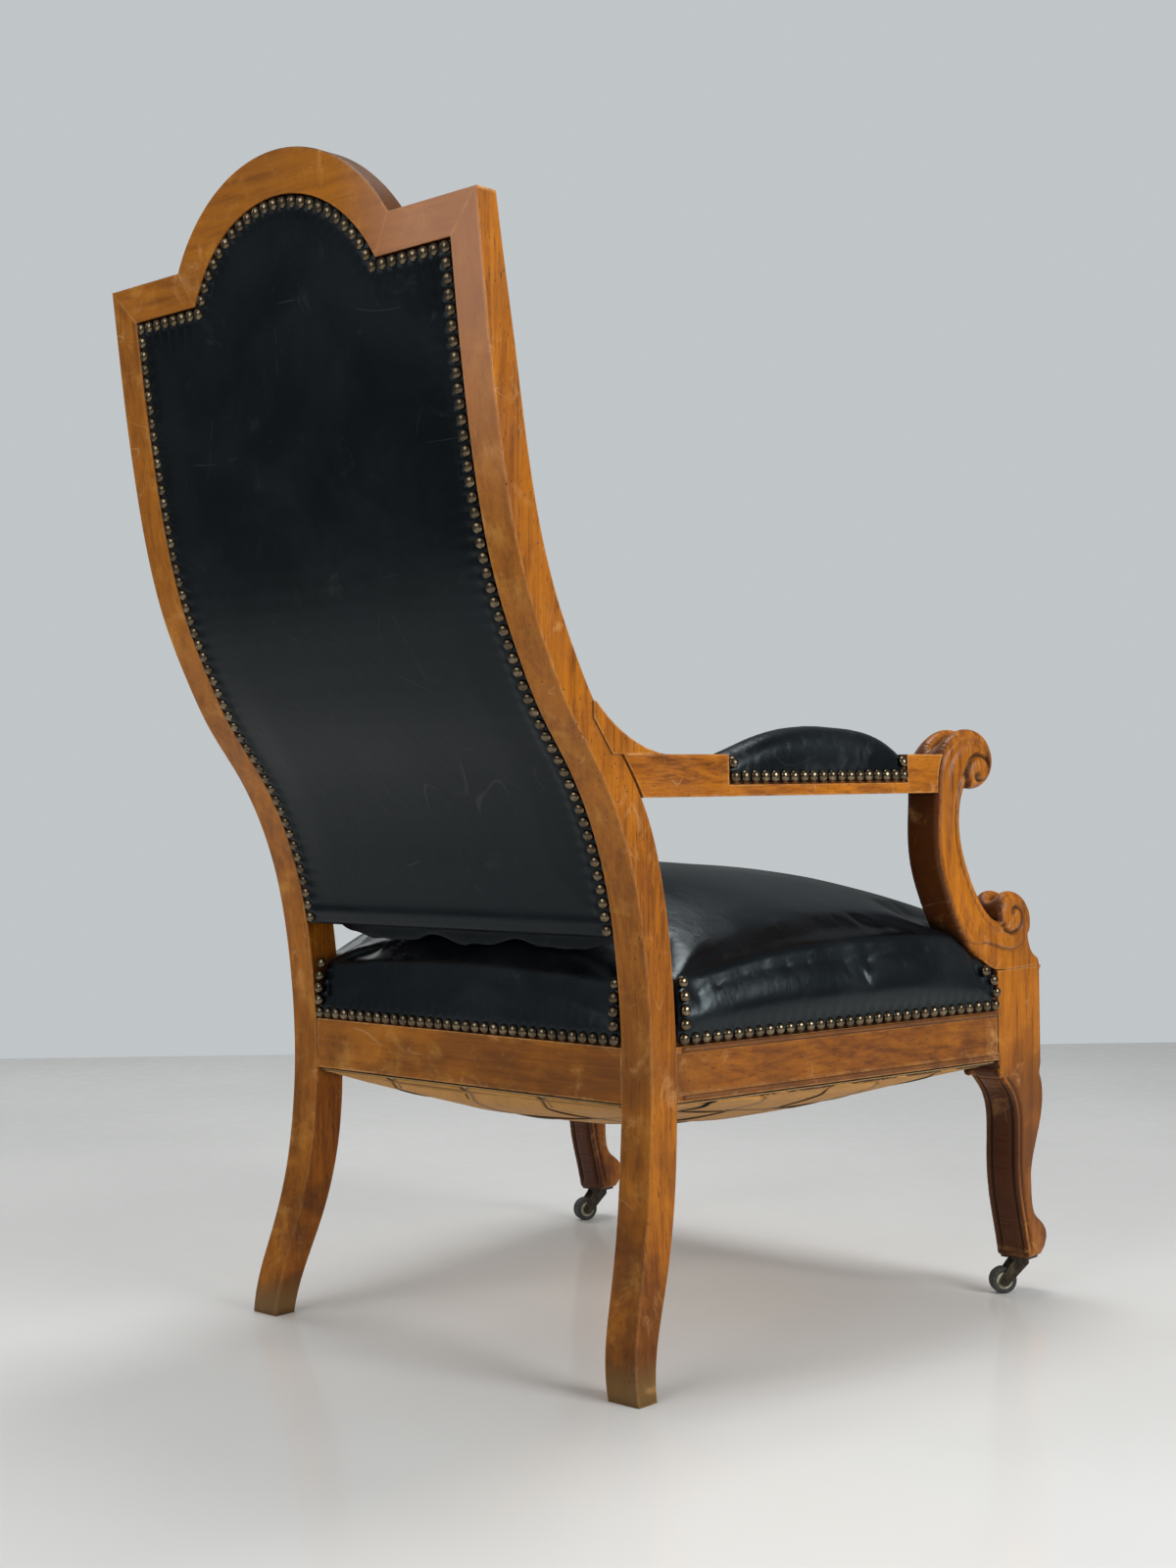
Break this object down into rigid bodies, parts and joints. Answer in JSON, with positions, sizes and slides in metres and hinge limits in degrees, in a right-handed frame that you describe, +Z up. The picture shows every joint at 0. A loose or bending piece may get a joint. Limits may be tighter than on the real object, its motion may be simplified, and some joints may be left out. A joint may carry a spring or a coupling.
{
  "type": "armchair",
  "caption": "High-backed sprung armchair with an arched crest, scrolled arm supports, nailed leather upholstery and casters under the front legs.",
  "frame": {"origin": "centre of the bounding box on the floor", "axes": "+Z up, -Y the way the sitter faces, +X the sitter's left"},
  "size_m": [0.712, 0.8384, 1.21],
  "materials": {
    "show_wood": "waxed, satin",
    "inner_wood": "raw",
    "black_leather": "polished, satin",
    "antique_brass": "aged",
    "horsehair": "loose fibre",
    "hessian": "coarse weave",
    "webbing": "jute weave",
    "spring_steel": "dull",
    "hub_brass": "worn",
    "wheel_composition": "matt, worn",
    "dark_bronze": "dark patina"
  },
  "bodies": {
    "root": {"arm_left": "show_wood", "arm_pad_cover_left": "black_leather", "arm_pad_cover_right": "black_leather", "arm_pad_nails_left": "antique_brass", "arm_pad_nails_right": "antique_brass", "arm_pad_stuffing_left": "horsehair", "arm_pad_stuffing_right": "horsehair", "arm_right": "show_wood", "arm_support_left": "show_wood", "arm_support_right": "show_wood", "back_buttons": "black_leather", "back_hessian": "hessian", "back_inner_nails": "antique_brass", "back_inner_pad": "black_leather", "back_lower_rail": "inner_wood", "back_outer_nails": "antique_brass", "back_outer_panel": "black_leather", "back_tack_frame": "inner_wood", "caster_plate_left": "dark_bronze", "caster_plate_right": "dark_bronze", "caster_screws_left": "dark_bronze", "caster_screws_right": "dark_bronze", "crest_arch": "show_wood", "crest_shoulder_left": "show_wood", "crest_shoulder_right": "show_wood", "front_leg_left": "show_wood", "front_leg_right": "show_wood", "front_seat_rail": "show_wood", "rear_post_left": "show_wood", "rear_post_right": "show_wood", "rear_seat_rail": "show_wood", "seat_corner_blocks": "inner_wood", "seat_cover": "black_leather", "seat_front_nails": "antique_brass", "seat_rear_nails": "antique_brass", "seat_side_nails_left": "antique_brass", "seat_side_nails_right": "antique_brass", "seat_springs": "spring_steel", "seat_stuffing": "horsehair", "seat_webbing": "webbing", "side_seat_rail_left": "show_wood", "side_seat_rail_right": "show_wood", "spring_canvas": "hessian"},
    "caster_fork_left": {"caster_fork_left": "dark_bronze", "caster_axle_left": "dark_bronze"},
    "caster_wheel_left": {"caster_hub_left": "hub_brass", "caster_tread_left": "wheel_composition"},
    "caster_fork_right": {"caster_fork_right": "dark_bronze", "caster_axle_right": "dark_bronze"},
    "caster_wheel_right": {"caster_hub_right": "hub_brass", "caster_tread_right": "wheel_composition"}
  },
  "joints": [
    {"name": "caster_swivel_left", "type": "hinge", "parent": "root", "child": "caster_fork_left", "pos_m": [0.328, -0.3913, 0.036], "axis": [0, 0, 1], "continuous": true},
    {"name": "caster_spin_left", "type": "hinge", "parent": "caster_fork_left", "child": "caster_wheel_left", "pos_m": [0.33484, -0.3725, 0.015], "axis": [-0.9397, 0.342, 0], "continuous": true},
    {"name": "caster_swivel_right", "type": "hinge", "parent": "root", "child": "caster_fork_right", "pos_m": [-0.328, -0.3913, 0.036], "axis": [0, 0, 1], "continuous": true},
    {"name": "caster_spin_right", "type": "hinge", "parent": "caster_fork_right", "child": "caster_wheel_right", "pos_m": [-0.31514, -0.37598, 0.015], "axis": [-0.766, 0.6428, 0], "continuous": true}
  ]
}
